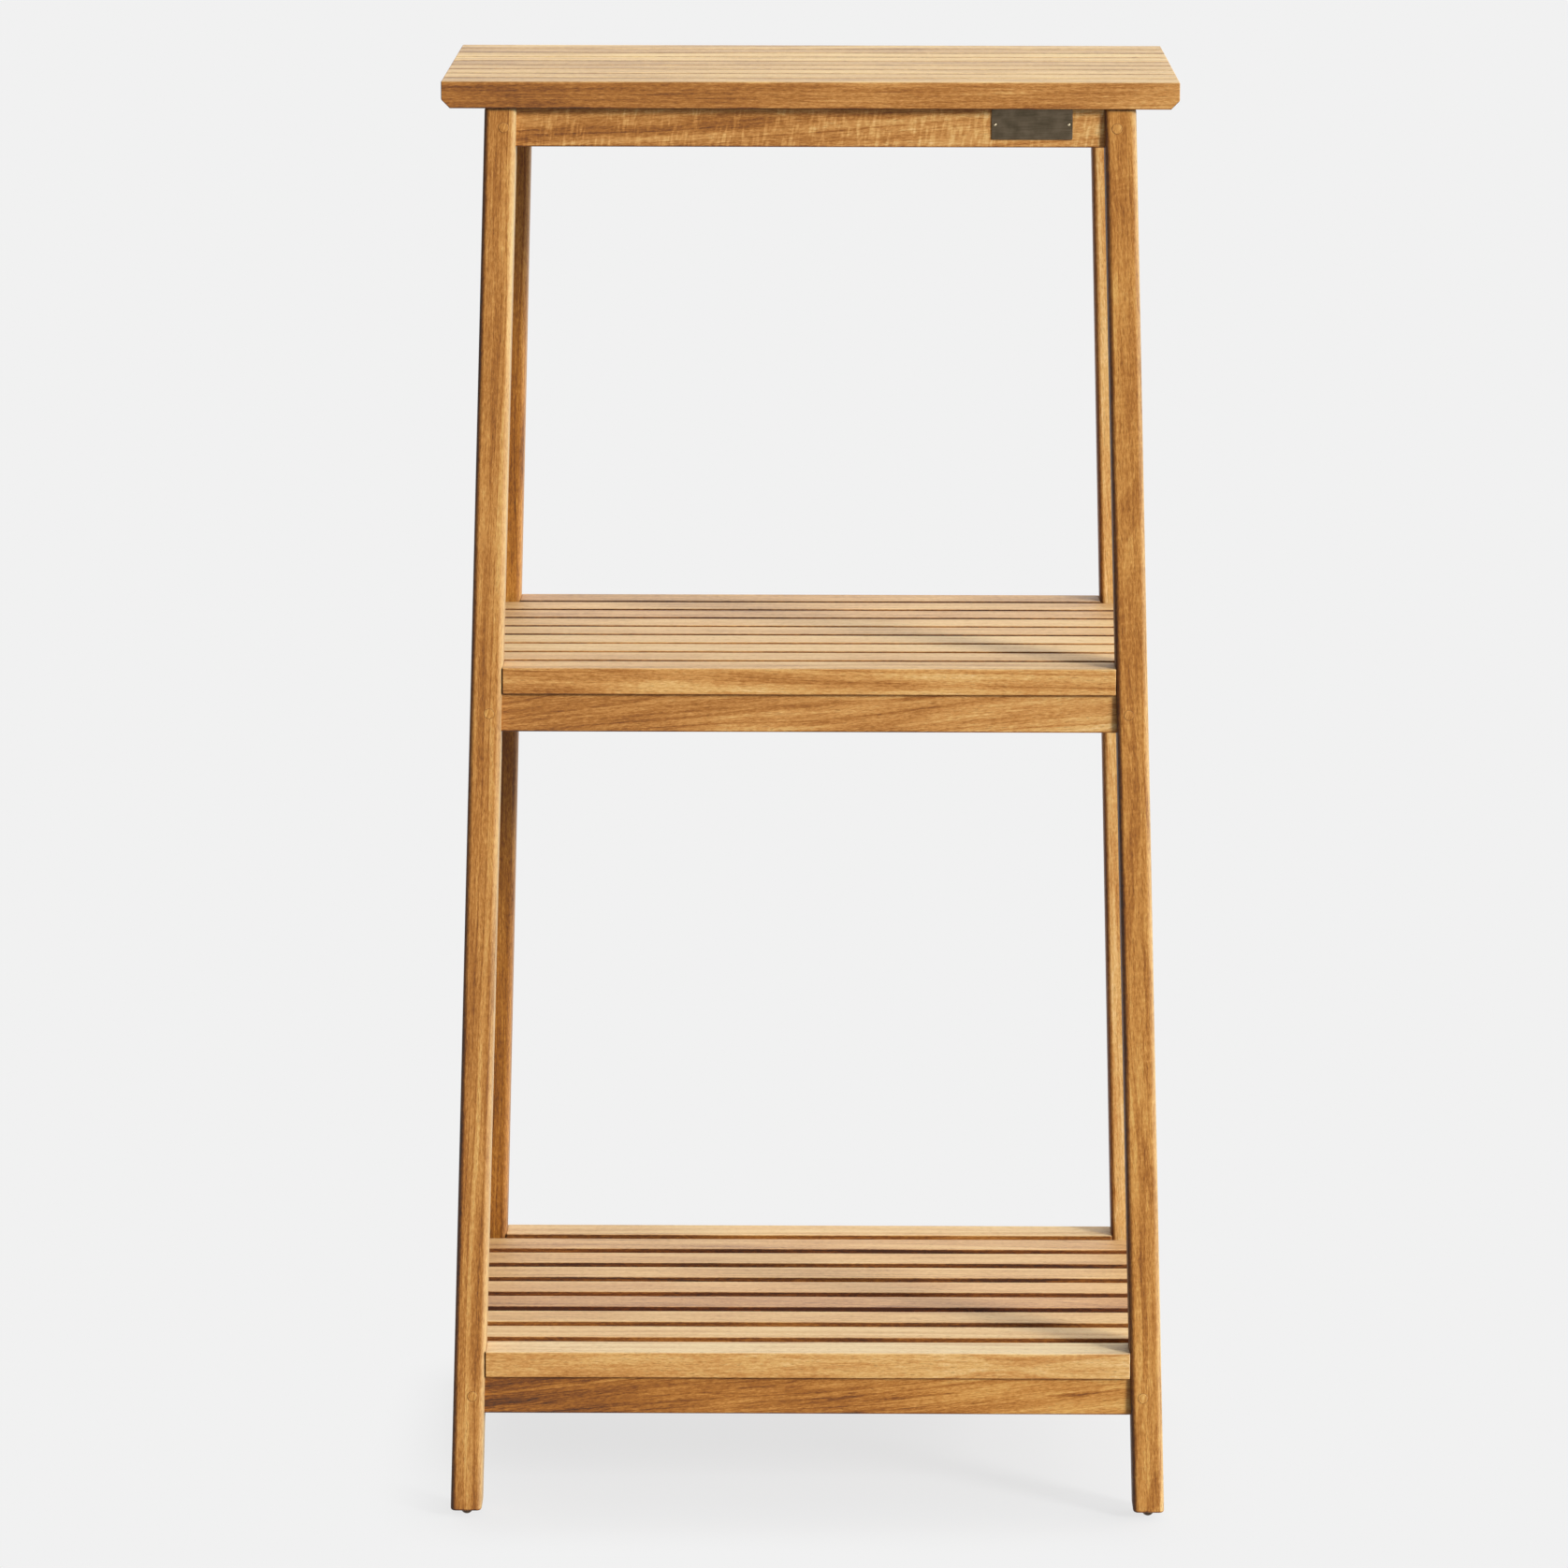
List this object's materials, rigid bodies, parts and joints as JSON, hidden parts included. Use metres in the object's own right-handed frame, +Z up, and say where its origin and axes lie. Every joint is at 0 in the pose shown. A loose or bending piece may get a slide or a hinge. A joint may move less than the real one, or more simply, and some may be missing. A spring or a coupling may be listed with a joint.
{
  "type": "ladder shelf",
  "caption": "Free-standing tiered shelf in oiled hardwood: slatted tiers on aprons and side rails between legs that splay both ways, on domed metal glides.",
  "frame": {"origin": "on the floor, under the middle of the top tier", "axes": "+Z up; +Y towards the back, so the front with the name plate faces -Y; +X to the right as seen from the front"},
  "size_m": [0.6, 0.4324, 1.2],
  "materials": {
    "leg_teak": "oiled, satin",
    "rail_teak": "oiled, satin",
    "slat_teak": "oiled, satin",
    "plug_teak": "oiled, satin",
    "screw_steel": "bright",
    "glide_steel": "bronzed",
    "plate_brass": "dark patinated, matt",
    "pin_brass": "bright"
  },
  "bodies": {
    "root": {"front_left_leg": "leg_teak", "front_right_leg": "leg_teak", "rear_left_leg": "leg_teak", "rear_right_leg": "leg_teak", "top_front_apron": "rail_teak", "top_rear_apron": "rail_teak", "middle_front_apron": "rail_teak", "middle_rear_apron": "rail_teak", "bottom_front_apron": "rail_teak", "bottom_rear_apron": "rail_teak", "top_left_rail": "rail_teak", "top_right_rail": "rail_teak", "middle_left_rail": "rail_teak", "middle_right_rail": "rail_teak", "bottom_left_rail": "rail_teak", "bottom_right_rail": "rail_teak", "top_slat_1": "slat_teak", "top_slat_2": "slat_teak", "top_slat_3": "slat_teak", "top_slat_4": "slat_teak", "top_slat_5": "slat_teak", "top_slat_6": "slat_teak", "top_slat_7": "slat_teak", "top_slat_8": "slat_teak", "top_slat_9": "slat_teak", "middle_slat_1": "slat_teak", "middle_slat_2": "slat_teak", "middle_slat_3": "slat_teak", "middle_slat_4": "slat_teak", "middle_slat_5": "slat_teak", "middle_slat_6": "slat_teak", "middle_slat_7": "slat_teak", "middle_slat_8": "slat_teak", "middle_slat_9": "slat_teak", "bottom_slat_1": "slat_teak", "bottom_slat_2": "slat_teak", "bottom_slat_3": "slat_teak", "bottom_slat_4": "slat_teak", "bottom_slat_5": "slat_teak", "bottom_slat_6": "slat_teak", "bottom_slat_7": "slat_teak", "bottom_slat_8": "slat_teak", "bottom_slat_9": "slat_teak", "top_slat_screws": "screw_steel", "middle_slat_screws": "screw_steel", "bottom_slat_screws": "screw_steel", "leg_screws": "screw_steel", "leg_plugs": "plug_teak", "name_plate": "plate_brass", "name_plate_pins": "pin_brass", "foot_glides": "glide_steel"}
  },
  "joints": []
}
